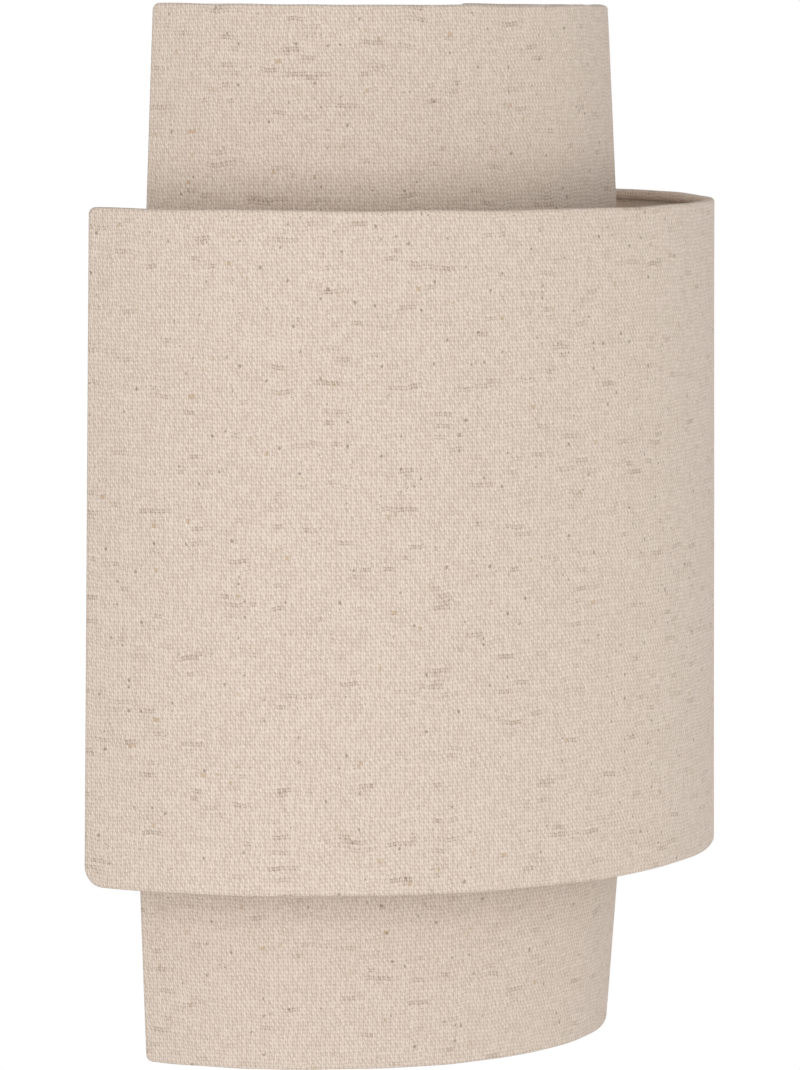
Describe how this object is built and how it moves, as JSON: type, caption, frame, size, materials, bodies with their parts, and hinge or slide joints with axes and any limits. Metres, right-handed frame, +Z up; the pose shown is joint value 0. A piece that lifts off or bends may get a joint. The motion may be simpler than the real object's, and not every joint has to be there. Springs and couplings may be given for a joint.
{
  "type": "wall light",
  "caption": "Half-round wall light with a tiered linen shade: a wide middle tier stands in front of an inner shade that tapers above and below it.",
  "frame": {"origin": "middle of the wall strap's back face, level with the middle of the outer shade", "axes": "+Z up, +Y into the wall, the light stands out towards -Y"},
  "size_m": [0.3046, 0.1524, 0.382],
  "materials": {
    "linen": "coarse natural beige linen with slubs",
    "liner": "white laminate",
    "frame_wire": "white powder coat",
    "zinc_steel": "bright zinc plate",
    "white_metal": "white powder coat",
    "holder_plastic": "moulded white thermoplastic",
    "holder_ceramic": "unglazed white steatite",
    "brass": "bright",
    "rubber": "black grommet rubber",
    "terminal_plastic": "natural white",
    "fixing_steel": "bright zinc plate",
    "brown_sleeve": "insulation",
    "blue_sleeve": "insulation",
    "earth_sleeve": "green and yellow insulation",
    "lamp_cap": "drawn shell",
    "lamp_insulator": "black glass-like insulator",
    "lamp_body": "white moulded body",
    "lamp_diffuser": "opal",
    "board": "white coated board with yellow chips"
  },
  "bodies": {
    "fitting": {"wall_strap": "zinc_steel", "strap_studs": "zinc_steel", "cap_nuts": "zinc_steel", "backplate": "white_metal", "shade_hooks": "white_metal", "hook_rivets": "zinc_steel", "holder_arm": "white_metal", "arm_screws": "zinc_steel", "arm_nuts": "zinc_steel", "hollow_nipple": "zinc_steel", "nipple_nut": "zinc_steel", "holder_cap": "holder_plastic", "holder_skirt": "holder_plastic", "contact_block": "holder_ceramic", "screw_shell": "brass", "centre_contact": "brass", "lead_bush": "rubber", "terminal_block": "terminal_plastic", "terminal_screws": "brass", "terminal_fixing_screw": "fixing_steel", "live_lead": "brown_sleeve", "neutral_lead": "blue_sleeve", "earth_lug": "zinc_steel", "earth_screw": "zinc_steel", "earth_lead": "earth_sleeve"},
    "shade": {"outer_cover": "linen", "outer_liner": "liner", "upper_cover": "linen", "upper_liner": "liner", "lower_cover": "linen", "lower_liner": "liner", "outer_top_ring": "frame_wire", "outer_bottom_ring": "frame_wire", "upper_rim_ring": "frame_wire", "lower_rim_ring": "frame_wire", "knee_ring": "frame_wire", "outer_uprights": "frame_wire", "upper_uprights": "frame_wire", "lower_uprights": "frame_wire", "upper_back_wire": "frame_wire", "lower_back_wire": "frame_wire", "back_struts": "frame_wire", "front_ribs": "frame_wire", "front_spokes": "frame_wire", "hanger_bar": "frame_wire"},
    "lamp": {"bulb_cap": "lamp_cap", "bulb_insulator": "lamp_insulator", "bulb_contact": "lamp_cap", "bulb_body": "lamp_body", "bulb_diffuser": "lamp_diffuser", "led_board": "board"}
  },
  "joints": [
    {"name": "shade_lift", "type": "slide", "parent": "fitting", "child": "shade", "axis": [0, 0, 1], "range_m": [0, 0.014]},
    {"name": "lamp_out", "type": "slide", "parent": "fitting", "child": "lamp", "axis": [0, 0, 1], "range_m": [0, 0.028]}
  ]
}
